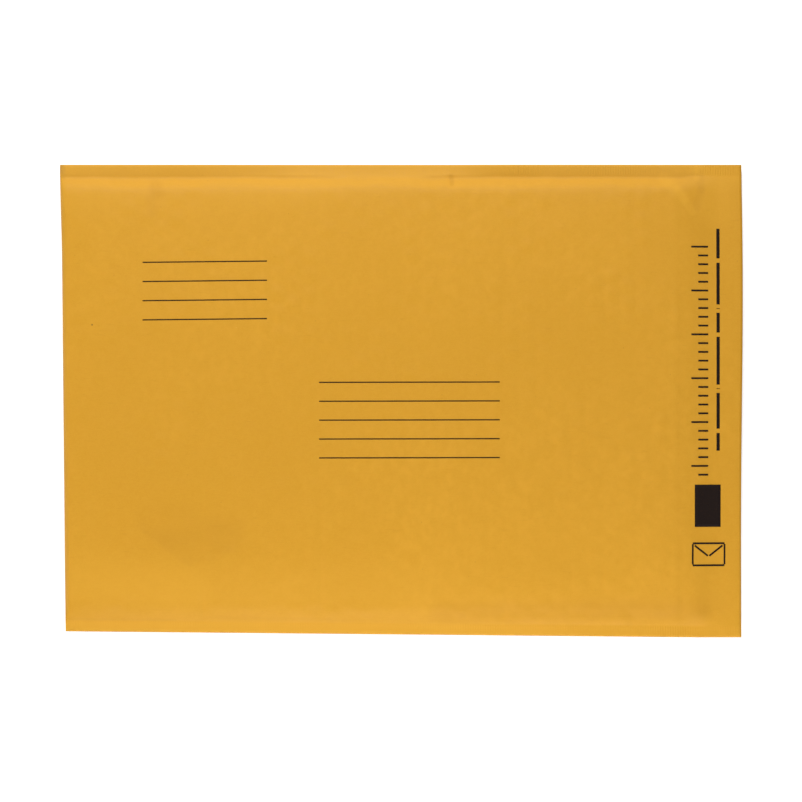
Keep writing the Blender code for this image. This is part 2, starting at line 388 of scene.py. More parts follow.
def crease_depth(x, y):
    depth = 0.0
    for *pixels, deep, width in CREASES:
        start, run = pixel_line(*pixels)
        along, off_line = beside_line(x, y, start, run)
        fade = 0.35 * run.length
        ends = smooth(along / fade + 0.3) * smooth((run.length - along) / fade + 0.3)
        depth = depth + deep * ends * np.exp(-np.abs(off_line / width) ** 1.5)
    return depth


# the slanting line at the lip's top corner, as pixels, and the column where its drop ends
CORNER_LINE = (661, 173, 696, 217)
CORNER_END = 704
CORNER_DROP = 0.0006


def corner_drop(x, y):
    """How far the padding's corner at the lip falls away, beyond a slanting line."""
    start, run = pixel_line(*CORNER_LINE)
    along, off_line = beside_line(x, y, start, run)
    ends = smooth(along / 0.006 + 0.5) * smooth((run.length - along) / 0.010 + 0.4)
    lip_side = smooth((at_pixel(CORNER_END, 0)[0] - x) / 0.009 + 0.2)
    return CORNER_DROP * smooth(off_line / 0.0050 + 0.5) * ends * lip_side


# the dent's two slanting creases and its box, as pixels
DENT_CREASES = ((125, 518, 190, 566), (190, 566, 260, 534))
DENT_LEFT_TOP = (128, 490)
DENT_RIGHT_FULL = (256, 534)


def dented(x, y):
    """The dent's patch, 1 within two slanting creases and fading upwards."""
    left, top = at_pixel(*DENT_LEFT_TOP)
    right, full = at_pixel(*DENT_RIGHT_FULL)
    patch = rise(x, left, 0.012) * fall(x, right, 0.012) * fall(y, top, top - full)
    for pixels in DENT_CREASES:
        above = beside_line(x, y, *pixel_line(*pixels))[1]
        patch = patch * smooth(above / 0.0030 + 0.5)
    return patch


# small hollows of the front: middle as a pixel, reach along and across, depth in metres
DIMPLES = (
    (157, 188, 0.0050, 0.0044, 0.00040),
    (157, 203, 0.0030, 0.0060, 0.00022),
    (451.5, 181, 0.0022, 0.0036, 0.00030),
    (500, 615, 0.0060, 0.0040, 0.00030),
    (204, 606, 0.0035, 0.0045, 0.00030),
    (321, 612, 0.0035, 0.0040, 0.00025),
    (600, 192, 0.0120, 0.0030, 0.00022),
    (560, 190, 0.0060, 0.0030, 0.00018),
    (233, 190, 0.0080, 0.0030, 0.00018),
    (380, 189, 0.0110, 0.0028, 0.00020),
)


def dimples(x, y):
    return sum(deep * spot(x, y, *place) for *place, deep in DIMPLES)


def sunk(s, y):
    """How far the crown and the shoulders stand below their smooth form."""
    inside = past_seam(s, y)
    middle = smooth(inside / CROWN_EDGE) * smooth(s / CROWN_EDGE)
    middle = middle * fall(s, POCKET_LENGTH, CROWN_EDGE)
    # both shoulders rise late, and the top one least where it catches the light
    late = ease(inside / SHOULDER_RUN) - ease((inside - LATE_RISE) / SHOULDER_RUN)
    most, least, low = LATE_DEPTHS
    bright = rise(s, 0.145, 0.03) * fall(s, 0.235, 0.03)
    late = late * np.where(y > 0, most - (most - least) * bright, low)
    # the low shoulder is slack
    near, far = SLACK_REACH
    slack = smooth(inside / near) * clip(1 - (inside - near) / (far - near)) ** 2 * (y < 0)
    least, most = SLACK_DEPTHS
    slack = slack * (least + (most - least) * rise(s, 0.19, 0.08))
    return CROWN_SINK * middle + (late + slack) * fall(s, POCKET_LENGTH, LIP_MARGIN)


def puckers(s, y):
    """The uneven small swells where the padding leaves a side seam."""
    inside = past_seam(s, y)
    scallop = bell((inside - 0.0035) / 0.0035) * fall(s, FILM_END, 0.01)
    uneven = waves(s, 0.4 * y, 0.019, 34) + 1.2 * waves(s, 0.2 * y, 0.055, 37)
    return PUCKER * scallop * uneven * smooth(inside / 0.003)


def front_relief(s, y):
    """What the paper's front adds to its smooth form: bubbles, swells and creases."""
    x = plan_x(s, y)
    inside = past_seam(s, y)
    film = smooth(inside / 0.008) * fall(s, FILM_END + 0.003, 0.006)
    film_edge = smooth(inside / 0.012) * fall(s, FILM_END + 0.0015, 0.0030)
    swells = BROAD_SWELL * waves(x, y, 0.085, 31) + SMALL_SWELL * waves(x, y, 0.026, 32)
    raised = (
        BUBBLE_SHOW * film * bubble_marks(s, y, 5)
        + FILM_STEP * film_edge
        + smooth(inside / 0.020) * swells
        + SMALL_SWELL * in_dent(x, y, (0.044, 0.026)) * waves(x, y, 0.020, 33)
        + puckers(s, y)
    )
    pressed = (
        DENT_PRESS * dented(x, y)
        + SEAM_GROOVE * bell(inside / 0.0007)
        + smooth(inside / 0.004) * dimples(x, y)
        + smooth(inside / 0.010) * corner_drop(x, y)
        + (1 - on_seam(s, y)) * crease_depth(x, y)
    )
    return raised - pressed - sunk(s, y) + seam_waver(s, y)


def back_relief(s, y):
    """The back's bubbles and swells, which only ever draw the paper up off the table."""
    hollow = BUBBLE_SHOW_BACK * (1 - bubble_marks(s, y, 8))
    lifted = BACK_LIFT * clip(0.5 + 0.5 * waves(s, y, 0.075, 41))
    return (hollow + lifted) * smooth(past_seam(s, y) / 0.012) + seam_waver(s, y)


def front_face(s, y):
    return front_height(s, y) + front_relief(s, y)


def back_face(s, y):
    return back_height(s, y) + back_relief(s, y)


def steps(start, end, count):
    return np.linspace(start, end, count + 1)


def across_y(s, places):
    """The y of places across the sheet: shares of its width from the low edge, and metres added."""
    shares, offsets = (np.array(column) for column in zip(*places))
    return low_edge(s) + shares * (TOP_EDGE - low_edge(s)) + offsets


def sheet_points(alongs, places):
    """Points of the folded sheet's outer face, an array of rows, columns and x, y, z.

    alongs holds ("front", s), ("nose", turn from 0 at the front to 1 at the back) or ("back", s).
    """
    rows = []
    for side, value in alongs:
        s = 0.0 if side == "nose" else value
        y = across_y(s, places)
        deep = NOSE_ROUNDNESS * (front_height(0.0, y) - back_height(0.0, y)) / 2
        if side == "nose":
            high, low = front_face(deep, y), back_face(deep, y)
            turn = np.pi * value
            s = deep * (1 - np.sin(turn))
            z = (high + low) / 2 + (high - low) / 2 * np.cos(turn)
        else:
            s = np.maximum(s, deep)
            z = front_face(s, y) if side == "front" else back_face(s, y)
        rows.append(np.stack([plan_x(s, y), y, z], axis=-1))
    return np.array(rows)


def folded_walk(front, nose_steps, back):
    """The walk along the sheet from the front's far end, round the nose, to the back's far end."""
    nose = [("nose", turn) for turn in steps(0, 1, nose_steps)[1:-1]]
    return [("front", s) for s in reversed(front)] + nose + [("back", s) for s in back]


def across_places(insets, count):
    """Stations across the sheet: insets from each side edge, and count cells between them."""
    last = insets[-1]
    low = [(0.0, inset) for inset in insets]
    middle = [(share, last * (1 - 2 * share)) for share in steps(0, 1, count)[1:-1]]
    return low + middle + [(1.0, -inset) for inset in reversed(insets)]


def bend_grid(bm, points):
    """A new grid of bm, laid on points, an array of rows, columns and x, y, z."""
    rows, columns = points.shape[:2]
    made = bmesh.ops.create_grid(bm, x_segments=columns - 1, y_segments=rows - 1, size=0.5)
    vertices = sorted(made["verts"], key=lambda v: (round(v.co.y, 5), round(v.co.x, 5)))
    for vertex, point in zip(vertices, points.reshape(-1, 3)):
        vertex.co = point


def face_up(bm):
    """Turns a bent sheet over if its first face looks down."""
    bm.normal_update()
    if next(iter(bm.faces)).normal.z < 0:
        bmesh.ops.reverse_faces(bm, faces=bm.faces)


def finished_mesh(name, bm):
    mesh = bpy.data.meshes.new(name)
    bm.to_mesh(mesh)
    bm.free()
    return mesh


def add_object(name, data):
    made = bpy.data.objects.new(name, data)
    bpy.context.scene.collection.objects.link(made)
    return made


def add_piece(name, bm, material, replaced=()):
    """A finished piece of the mailer, smooth but for its sharp edges."""
    bm.normal_update()
    mesh = finished_mesh(name, bm)
    mesh.shade_smooth()
    mesh.set_sharp_from_angle(angle=SHARP_ANGLE)
    mesh.materials.append(material)
    piece = add_object(name, mesh)
    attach(piece, "root")
    if replaced:
        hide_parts(*replaced)
    return piece


def thicken(piece, thickness, offset):
    solid = piece.modifiers.new("thickness", "SOLIDIFY")
    solid.thickness = thickness
    solid.offset = offset
    solid.use_even_offset = True


def add_values(piece, name, values):
    """A named value for each of a piece's vertices, which its material reads."""
    made = piece.data.attributes.new(name, "FLOAT", "POINT")
    made.data.foreach_set("value", np.asarray(values, np.float32))


def shade_node(tree, kind, inputs=(), **settings):
    """A node with its settings, and its inputs given as values or as other nodes' sockets."""
    made = tree.nodes.new("ShaderNode" + kind)
    for name, value in settings.items():
        setattr(made, name, value)
    for key, value in dict(inputs).items():
        if isinstance(value, bpy.types.NodeSocket):
            tree.links.new(value, made.inputs[key])
        else:
            made.inputs[key].default_value = value
    return made


def maths(tree, operation, first, second=0.0, third=0.0):
    made = shade_node(tree, "Math", {0: first, 1: second, 2: third}, operation=operation)
    return made.outputs[0]


def fit(tree, value, low, high, to_low=0.0, to_high=1.0):
    """value from low to high, read smoothly as to_low to to_high."""
    made = shade_node(
        tree,
        "MapRange",
        {"Value": value, "From Min": low, "From Max": high, "To Min": to_low, "To Max": to_high},
        interpolation_type="SMOOTHSTEP",
    )
    return made.outputs["Result"]


def blend(tree, share, first, second):
    """A colour between two, each four numbers or a socket."""
    made = shade_node(tree, "Mix", {0: share, 6: first, 7: second}, data_type="RGBA")
    return made.outputs[2]


def noise(tree, vector, scale, detail, roughness=0.5, distortion=0.0):
    given = {"Vector": vector, "Scale": scale, "Detail": detail, "Roughness": roughness}
    given["Distortion"] = distortion
    return shade_node(tree, "TexNoise", given).outputs["Fac"]


def vector_maths(tree, operation, first, second):
    made = shade_node(tree, "VectorMath", {0: first, 1: second}, operation=operation)
    return made.outputs["Value" if operation in ("DOT_PRODUCT", "DISTANCE") else "Vector"]


def new_group(name, inputs, outputs):
    """An empty node group, its inputs and its output node. An input of None is a vector."""
    group = bpy.data.node_groups.new(name, "ShaderNodeTree")
    for label, value in inputs.items():
        kind = "NodeSocketVector" if value is None else "NodeSocketFloat"
        socket = group.interface.new_socket(name=label, in_out="INPUT", socket_type=kind)
        if value is not None:
            socket.default_value = value
    for label in outputs:
        group.interface.new_socket(name=label, in_out="OUTPUT", socket_type="NodeSocketFloat")
    return group, group.nodes.new("NodeGroupInput").outputs, group.nodes.new("NodeGroupOutput")


def use_group(tree, group, inputs):
    return shade_node(tree, "Group", inputs, node_tree=group).outputs


def scaled(tree, vector, scale):
    made = shade_node(tree, "VectorMath", {0: vector, "Scale": scale}, operation="SCALE")
    return made.outputs[0]


def mapped(tree, vector, scale, rotation=(0, 0, 0)):
    """vector, stretched by scale along each axis after a turn."""
    given = {"Vector": vector, "Scale": scale, "Rotation": rotation}
    return shade_node(tree, "Mapping", given).outputs[0]


def make_fibre_group():
    """Paper fibre: fine strands in three directions, a tooth, and sparse thick strands."""
    inputs = {"Vector": None, "Size": 1.0}
    group, given, result = new_group("paper fibre", inputs, ["Fibre", "Strand", "Tooth"])
    sized = scaled(group, given["Vector"], given["Size"])
    fibre = 0.0
    for turn, share in ((0.12, 0.40), (1.25, 0.30), (2.30, 0.30)):
        turned = shade_node(
            group, "VectorRotate", {"Vector": sized, "Angle": turn}, rotation_type="Z_AXIS"
        )
        drawn = mapped(group, turned.outputs[0], (260, 1900, 1400))
        strand = noise(group, drawn, 1.0, 2.0, 0.6, 0.6)
        fibre = maths(group, "MULTIPLY_ADD", strand, share, fibre)
    coarse = mapped(group, sized, (90, 700, 500), (0, 0, 0.5))
    strand = noise(group, coarse, 1.0, 2.0, 0.5, 1.5)
    group.links.new(fibre, result.inputs["Fibre"])
    group.links.new(fit(group, strand, 0.64, 0.74), result.inputs["Strand"])
    group.links.new(noise(group, sized, 2600.0, 2.0), result.inputs["Tooth"])
    return group


def make_speck_group():
    """Specks: a scatter of small spots, of which Share is shown."""
    inputs = {"Vector": None, "Spacing": 0.006, "Share": 0.1, "Radius": 0.1}
    group, given, result = new_group("specks", inputs, ["Specks"])
    spaced = scaled(group, given["Vector"], maths(group, "DIVIDE", 1.0, given["Spacing"]))
    cells = shade_node(group, "TexVoronoi", {"Vector": spaced, "Scale": 1.0})
    picked = shade_node(group, "SeparateColor", {"Color": cells.outputs["Color"]})
    shown = maths(group, "LESS_THAN", picked.outputs["Red"], given["Share"])
    reach = maths(group, "MULTIPLY", given["Radius"], picked.outputs["Green"])
    inward = maths(group, "SUBTRACT", 1.0, maths(group, "DIVIDE", cells.outputs["Distance"], reach))
    speck = maths(group, "MULTIPLY", fit(group, inward, 0.0, 0.5), shown)
    group.links.new(speck, result.inputs["Specks"])
    return group


def make_mottle_group():
    """Mottle: a soft cloudy unevenness, Size metres from cloud to cloud."""
    inputs = {"Vector": None, "Size": 0.05, "Detail": 3.0}
    group, given, result = new_group("mottle", inputs, ["Mottle"])
    scale = maths(group, "DIVIDE", 1.0, given["Size"])
    cloud = noise(group, given["Vector"], scale, given["Detail"])
    group.links.new(fit(group, cloud, 0.28, 0.72), result.inputs["Mottle"])
    return group


def make_line_group():
    """1 on a straight line over the paper, From to From + Run, and 0 beyond Width beside it."""
    inputs = {"Vector": None, "From": None, "Run": None, "Width": 0.001}
    group, given, result = new_group("line mark", inputs, ["Mark"])
    off = vector_maths(group, "SUBTRACT", given["Vector"], given["From"])
    off = vector_maths(group, "MULTIPLY", off, (1, 1, 0))
    along = vector_maths(group, "DOT_PRODUCT", off, given["Run"])
    whole = vector_maths(group, "DOT_PRODUCT", given["Run"], given["Run"])
    share = shade_node(group, "Clamp", {"Value": maths(group, "DIVIDE", along, whole)}).outputs[0]
    foot = scaled(group, given["Run"], share)
    beside = vector_maths(group, "DISTANCE", off, foot)
    inward = maths(group, "SUBTRACT", 1.0, maths(group, "DIVIDE", beside, given["Width"]))
    group.links.new(fit(group, inward, 0.0, 0.8), result.inputs["Mark"])
    return group


def new_material(name):
    material = bpy.data.materials.new(name)
    material.use_nodes = True
    tree = material.node_tree
    place = shade_node(tree, "TexCoord").outputs["Object"]
    return material, tree, tree.nodes["Principled BSDF"], place


def link_surface(tree, shader, colour, roughness, height, distance, strength, plain):
    """Gives a material's shader its colour, roughness and bump, and its plain values by name."""
    tree.links.new(colour, shader.inputs["Base Color"])
    tree.links.new(roughness, shader.inputs["Roughness"])
    bump = shade_node(tree, "Bump", {"Height": height, "Distance": distance, "Strength": strength})
    tree.links.new(bump.outputs["Normal"], shader.inputs["Normal"])
    for name, value in plain.items():
        shader.inputs[name].default_value = value


def attribute(tree, name):
    return shade_node(tree, "Attribute", attribute_name=name).outputs["Fac"]


def clouds(tree, mottle_group, vector, size, detail):
    given = {"Vector": vector, "Size": size, "Detail": detail}
    return use_group(tree, mottle_group, given)["Mottle"]


def specks(tree, speck_group, vector, spacing, share, radius):
    given = {"Vector": vector, "Spacing": spacing, "Share": share, "Radius": radius}
    return use_group(tree, speck_group, given)["Specks"]


# tones of painted shade and painted highlight along lines: shade in creases and at the foot of the
# low shoulder, highlight on slopes that face the light
CREASE_SHADE_TONE = (0.480, 0.210, 0.0110, 1)
SHADE_TONE = (0.520, 0.230, 0.0120, 1)
HIGHLIGHT_TONE = (0.860, 0.440, 0.0360, 1)

# those lines: ends as pixels, width in metres, strength and tone
LIGHT_AND_SHADE_LINES = (
    (700, 172, 701, 190, 0.0040, 0.13, CREASE_SHADE_TONE),
    (701, 190, 696, 207, 0.0040, 0.13, CREASE_SHADE_TONE),
    (451, 176, 452, 184, 0.0022, 0.24, CREASE_SHADE_TONE),
    (664, 178, 683, 199, 0.0056, 0.26, HIGHLIGHT_TONE),
    (677, 190, 692, 212, 0.0036, 0.26, HIGHLIGHT_TONE),
    (156, 187, 159, 193, 0.0060, 0.17, SHADE_TONE),
    (151, 199, 154, 212, 0.0050, 0.13, SHADE_TONE),
    (66, 619, 176, 620, 0.0011, 0.10, SHADE_TONE),
    (205, 617, 330, 619, 0.0016, 0.07, SHADE_TONE),
    (440, 612, 700, 611, 0.0100, 0.19, SHADE_TONE),
    (590, 606, 720, 606, 0.0120, 0.09, SHADE_TONE),
    (697, 164, 697, 178, 0.0030, 0.30, HIGHLIGHT_TONE),
    (90, 572, 185, 584, 0.0240, 0.15, HIGHLIGHT_TONE),
    (716, 178, 716, 212, 0.0150, 0.12, HIGHLIGHT_TONE),
)

# the one dark fleck of the front: its pixel and its radius in metres
FLECK_PIXEL = (93, 325)
FLECK_RADIUS = 0.0008


def fleck_mask(tree, place):
    flat = vector_maths(tree, "MULTIPLY", place, (1, 1, 0))
    off = vector_maths(tree, "DISTANCE", flat, (*at_pixel(*FLECK_PIXEL), 0))
    return fit(tree, off, 0.0, FLECK_RADIUS, 1.0, 0.0)


def painted_light_lines(tree, line_group, place):
    """The mask, strength and tone of each line of painted shade or painted highlight in the paper's
    colour.
    """
    for *pixels, width, strength, tone in LIGHT_AND_SHADE_LINES:
        start, run = pixel_line(*pixels)
        given = {"Vector": place, "From": (*start, 0), "Run": (*run, 0), "Width": width}
        yield use_group(tree, line_group, given)["Mark"], strength, tone


def make_kraft(fibre_group, speck_group, mottle_group, line_group):
    """Golden kraft paper with its fibres, flecks and cloudy tone, painted highlights and painted
    shade, and ribs on the crimped seams.
    """
    material, tree, shader, place = new_material("golden_kraft")
    fibre = use_group(tree, fibre_group, {"Vector": place, "Size": 1.0})
    upright = mapped(tree, place, (1.15, 0.85, 1.0))
    open_fibre = fit(tree, fibre["Fibre"], 0.30, 0.60, 0.3, 1.0)
    dark_tone, light_tone = (0.690, 0.3255, 0.0175, 1), (0.736, 0.3525, 0.0215, 1)
    colour = blend(tree, clouds(tree, mottle_group, place, 0.11, 2.0), dark_tone, light_tone)
    for mask, strength, tone in (
        (clouds(tree, mottle_group, upright, 0.0085, 1.0), 0.60, (0.680, 0.322, 0.0150, 1)),
        (clouds(tree, mottle_group, upright, 0.0042, 2.0), 0.58, (0.685, 0.325, 0.0155, 1)),
        (fit(tree, fibre["Fibre"], 0.40, 0.60), 0.26, (0.770, 0.415, 0.038, 1)),
        (fibre["Strand"], 0.18, (0.560, 0.250, 0.012, 1)),
        # painted highlight: lighter paper where the light catches the seams and the shoulders
        (attribute(tree, "painted_highlight"), 0.5, (0.800, 0.400, 0.036, 1)),
        (specks(tree, speck_group, place, 0.009, 0.30, 0.035), 0.35, (0.86, 0.56, 0.14, 1)),
        (specks(tree, speck_group, place, 0.004, 0.25, 0.11), 0.30, (0.40, 0.17, 0.02, 1)),
        (specks(tree, speck_group, place, 0.015, 0.30, 0.018), 0.55, (0.22, 0.09, 0.015, 1)),
        # painted shade: the dent's patch coloured darker where it lies in shade
        (attribute(tree, "painted_dent_shade"), 0.34, (0.530, 0.240, 0.0130, 1)),
        (fleck_mask(tree, place), 0.85, (0.10, 0.05, 0.012, 1)),
        # painted shade and painted highlight along lines of creases and shoulders
        *painted_light_lines(tree, line_group, place),
        (attribute(tree, "darker_corner"), open_fibre, (0.42, 0.22, 0.045, 1)),
    ):
        colour = blend(tree, maths(tree, "MULTIPLY", mask, strength), colour, tone)
    rough = fit(tree, fibre["Fibre"], 0.3, 0.7, 0.56, 0.74)
    rib = shade_node(
        tree,
        "TexWave",
        {"Vector": place, "Scale": 210.0, "Distortion": 1.2, "Detail": 1.0, "Detail Scale": 0.3},
        wave_type="BANDS",
        bands_direction="X",
    ).outputs["Fac"]
    ribs = maths(tree, "MULTIPLY", rib, attribute(tree, "crimped"))
    height = maths(tree, "MULTIPLY", ribs, 2.2)
    height = maths(tree, "MULTIPLY_ADD", fibre["Fibre"], 0.55, height)
    height = maths(tree, "MULTIPLY_ADD", fibre["Tooth"], 0.25, height)
    gloss = {"Specular IOR Level": 0.28, "Sheen Weight": 0.03, "Sheen Roughness": 0.5}
    link_surface(tree, shader, colour, rough, height, 0.00008, 0.55, gloss)
    return material


def make_ink(fibre_group):
    """Matt black ink, a little open where the fibres stand up."""
    material, tree, shader, place = new_material("matt_ink")
    fibre = use_group(tree, fibre_group, {"Vector": place, "Size": 1.4})
    open_ink = fit(tree, fibre["Fibre"], 0.52, 0.72, 0.0, 0.6)
    colour = blend(tree, open_ink, (0.006, 0.002, 0.001, 1), (0.035, 0.015, 0.004, 1))
    rough = fit(tree, fibre["Tooth"], 0.3, 0.7, 0.6, 0.75)
    gloss = {"Specular IOR Level": 0.12}
    link_surface(tree, shader, colour, rough, fibre["Fibre"], 0.00004, 0.4, gloss)
    return material


def make_film(mottle_group):
    """Clear bubble film, a little hazy, with fine stretch wrinkles."""
    material, tree, shader, place = new_material("clear_film")
    haze = clouds(tree, mottle_group, place, 0.03, 3.0)
    wrinkle = noise(tree, mapped(tree, place, (90, 420, 300)), 1.0, 3.0, 0.55, 1.0)
    colour = blend(tree, haze, (0.80, 0.85, 0.88, 1), (0.90, 0.93, 0.95, 1))
    rough = fit(tree, haze, 0.0, 1.0, 0.14, 0.26)
    clear = {"Transmission Weight": 0.6, "IOR": 1.5}
    link_surface(tree, shader, colour, rough, wrinkle, 0.0002, 0.5, clear)
    return material


def make_adhesive(mottle_group):
    """A tacky clear strip, with streaks from the roller."""
    material, tree, shader, place = new_material("tacky_strip")
    cloud = clouds(tree, mottle_group, place, 0.010, 3.0)
    streaks = noise(tree, mapped(tree, place, (900, 60, 400)), 1.0, 2.0)
    colour = blend(tree, cloud, (0.82, 0.79, 0.66, 1), (0.89, 0.87, 0.78, 1))
    rough = fit(tree, streaks, 0.3, 0.7, 0.12, 0.28)
    clear = {"Transmission Weight": 0.3}
    link_surface(tree, shader, colour, rough, streaks, 0.00006, 0.5, clear)
    return material


def make_liner(fibre_group, speck_group):
    """Silky white release paper with a faint fibre under its coating."""
    material, tree, shader, place = new_material("release_paper")
    fibre = use_group(tree, fibre_group, {"Vector": place, "Size": 1.2})
    share = fit(tree, fibre["Fibre"], 0.3, 0.7)
    colour = blend(tree, share, (0.84, 0.84, 0.81, 1), (0.90, 0.90, 0.88, 1))
    speck = maths(tree, "MULTIPLY", specks(tree, speck_group, place, 0.005, 0.2, 0.09), 0.2)
    colour = blend(tree, speck, colour, (0.55, 0.52, 0.45, 1))
    rough = fit(tree, fibre["Tooth"], 0.3, 0.7, 0.30, 0.42)
    coat = {"Coat Weight": 0.25, "Coat Roughness": 0.3}
    link_surface(tree, shader, colour, rough, fibre["Fibre"], 0.00003, 0.3, coat)
    return material


# where the seams are crimped most: pixels, and reach along the seam in metres
CRIMPS = ((525, 171, 0.008), (716, 168, 0.012), (664, 631, 0.010), (610, 170, 0.02))

# the darker corner at the fold: its pixel, reach along and across in metres
DARKER_CORNER = (61, 169, 0.0016, 0.0040)


def add_kraft_sheet(material):
    """The kraft cover: one sheet, folded once at the left end, with the flap on its front."""
    front = steps(2 * NOSE_REACH, POCKET_LENGTH, round(POCKET_LENGTH / ROW_STEP))
    flap = steps(POCKET_LENGTH, POCKET_LENGTH + FLAP_LENGTH, 13)[1:]
    turn_in = steps(NOSE_REACH, 2 * NOSE_REACH, 3)[:-1]
    back = steps(2 * NOSE_REACH, POCKET_LENGTH, round(POCKET_LENGTH / BACK_ROW_STEP))
    alongs = folded_walk([*turn_in, *front, *flap], 10, [*turn_in, *back])
    seam = [SEAM_WIDTH * part for part in (0, *SEAM_PARTS)]
    shoulder = [SEAM_WIDTH + SHOULDER_RUN * part for part in (0.1, 0.25, 0.42, 0.6, 0.8, 1)]
    bm = bmesh.new()
    bend_grid(bm, sheet_points(alongs, across_places(seam + shoulder, COLUMNS)))
    face_up(bm)
    x, y = np.array([v.co.xy for v in bm.verts]).T
    s = plan_s(x, y)
    piece = add_piece("kraft_cover_sheet", bm, material, ["kraft_cover"])
    crimped = 0.25 + 0.2 * waves(s, y, 0.03, 38)
    for px, py, reach in CRIMPS:
        crimped = crimped + spot(x, y, px, py, reach, 0.006)
    # painted highlight on the seams and the shoulders beside them
    add_values(piece, "painted_highlight", painted_highlight(s, y))
    add_values(piece, "crimped", clip(crimped) * on_seam(s, y))
    add_values(piece, "darker_corner", 0.75 * spot(x, y, *DARKER_CORNER))
    # painted shade over the dent's patch
    add_values(piece, "painted_dent_shade", dented(x, y) * clip(0.50 + 0.20 * waves(x, y, 0.018, 39)))
    thicken(piece, PAPER, -1)


def pocket_room(s, y):
    """The height of the pocket's middle, and half the height between its walls."""
    front, back = front_height(s, y), back_height(s, y)
    return (front + back) / 2, np.maximum((front - back) / 2 - WALL, POCKET_SLIT / 2)


def pocket_walls(s, places):
    """The pocket's ceiling and floor at one s, as points; their side edges meet in the middle."""
    y = across_y(s, places)
    middle, half = pocket_room(s, y)
    half[0] = half[-1] = 0.0
    return [np.stack([plan_x(s, y), y, z], axis=-1) for z in (middle + half, middle - half)]


def film_bag(bm):
    """The film's smooth inner skin: a flat bag, closed at the fold and the sides."""
    start = 2 * NOSE_REACH + POCKET_FOLD_MARGIN
    alongs = [start - 0.002, start, start + WALL, *steps(start + 3 * WALL, FILM_END, 72)]
    inset = SEAM_WIDTH + POCKET_SIDE_MARGIN
    insets = [inset - 0.0012, *(inset + part * SHOULDER_RUN for part in (0, 0.5, 1, 2))]
    places = across_places(insets, 44)
    walls = [pocket_walls(s, places) for s in alongs]
    ceiling, floor = walls[0]
    ceiling[:, 2] = floor[:, 2] = (ceiling[:, 2] + floor[:, 2]) / 2
    bend_grid(bm, np.array([np.concatenate([high, low[::-1]]) for high, low in walls]))
    bmesh.ops.remove_doubles(bm, verts=bm.verts, dist=1e-6)
    bmesh.ops.recalc_face_normals(bm, faces=bm.faces)
    top = max(bm.faces, key=lambda face: face.calc_center_median().z)
    if top.normal.z < 0:
        bmesh.ops.reverse_faces(bm, faces=bm.faces)
    bmesh.ops.solidify(bm, geom=bm.faces, thickness=-FILM_SKIN)


def weld_strip(bm, top):
    """The film's flat edge, welded between the papers of the top or the low side seam."""
    half = HALF_STACK - PAPER - WELD_CLEARANCE
    insets = [SEAM_WIDTH * part for part in (0.05, *SEAM_PARTS)]
    insets = np.array([*insets, SEAM_WIDTH + POCKET_SIDE_MARGIN])
    rows = []
    for s in steps(2 * NOSE_REACH, FILM_END, 120):
        y = TOP_EDGE - insets if top else low_edge(s) + insets
        z = SEAM_LEVEL + seam_curl(s, y) + seam_waver(s, y)
        rows.append(np.stack([plan_x(s, y), y, z], axis=-1))
    for level in (half, -half):
        bend_grid(bm, np.array(rows) + (0, 0, level))
    bmesh.ops.bridge_loops(bm, edges=[edge for edge in bm.edges if edge.is_boundary])
    bmesh.ops.recalc_face_normals(bm, faces=bm.faces)


def bubble_places():
    """The middles of the film's bubbles, as s and y."""
    for shift in (0.0, 0.5):
        for along in range(int(POCKET_LENGTH / BUBBLE_ROW) + 2):
            for across in range(-BUBBLES_ACROSS, BUBBLES_ACROSS + 1):
                yield (along + shift) * BUBBLE_ROW, (across + shift) * BUBBLE_PITCH


def one_bubble():
    """A bubble of unit height: a short round pillar with a soft rim, as a mesh."""
    bm = bmesh.new()
    bmesh.ops.create_cone(
        bm,
        cap_ends=True,
        cap_tris=False,
        segments=10,
        radius1=BUBBLE_RADIUS,
        radius2=BUBBLE_RADIUS * BUBBLE_TAPER,
        depth=1.0,
    )
    bmesh.ops.translate(bm, verts=bm.verts, vec=(0, 0, 0.5))
    rim = [edge for edge in bm.edges if all(vertex.co.z > 0.9 for vertex in edge.verts)]
    bmesh.ops.scale(bm, verts=bm.verts, vec=(1, 1, FILM_WALL))
    bmesh.ops.bevel(
        bm, geom=rim, offset=BUBBLE_RIM, segments=2, profile=0.5, material=-1, affect="EDGES"
    )
    bmesh.ops.scale(bm, verts=bm.verts, vec=(1, 1, 1 / FILM_WALL))
    return finished_mesh("bubble", bm)


def film_bubbles(bm):
    """The bubbles between the inner skin and the paper, on the front's and the back's film."""
    bubble = one_bubble()
    ring = np.array([(0, 0), (1, 0), (-1, 0), (0, 1), (0, -1)]) * BUBBLE_RADIUS
    edges = np.array(list(bubble_places()))[:, None, :] + ring
    s, y = edges[:, :, 0], edges[:, :, 1]
    clear = np.min(edge_distance(s, y), axis=1) > SEAM_WIDTH + BUBBLE_SEAM_GAP
    clear &= np.min(s, axis=1) > 2 * NOSE_REACH + BUBBLE_FOLD_GAP
    clear &= np.max(s, axis=1) <= FILM_END - BUBBLE_END_GAP
    s, y = s[clear], y[clear]
    middle, half = pocket_room(s, y)
    inward = PAPER + BUBBLE_CLEARANCE
    front = (np.max(middle + half, axis=1), np.min(front_face(s, y), axis=1) - inward)
    back = (np.min(middle - half, axis=1), np.max(back_face(s, y), axis=1) + inward)
    x_places, y_places = plan_x(s[:, 0], y[:, 0]), y[:, 0]
    for turn, bases, tops in ((0.0, *front), (math.pi, *back)):
        for x, across, base, top in zip(x_places, y_places, bases, tops):
            height = base - top if turn else top - base
            if height < LOWEST_BUBBLE:
                continue
            grown = bubble.copy()
            grown.transform(
                Matrix.Translation((x, across, base))
                @ Matrix.Rotation(turn, 4, "X")
                @ Matrix.Diagonal((1, 1, height, 1))
            )
            bm.from_mesh(grown)
            bpy.data.meshes.remove(grown)
    bpy.data.meshes.remove(bubble)


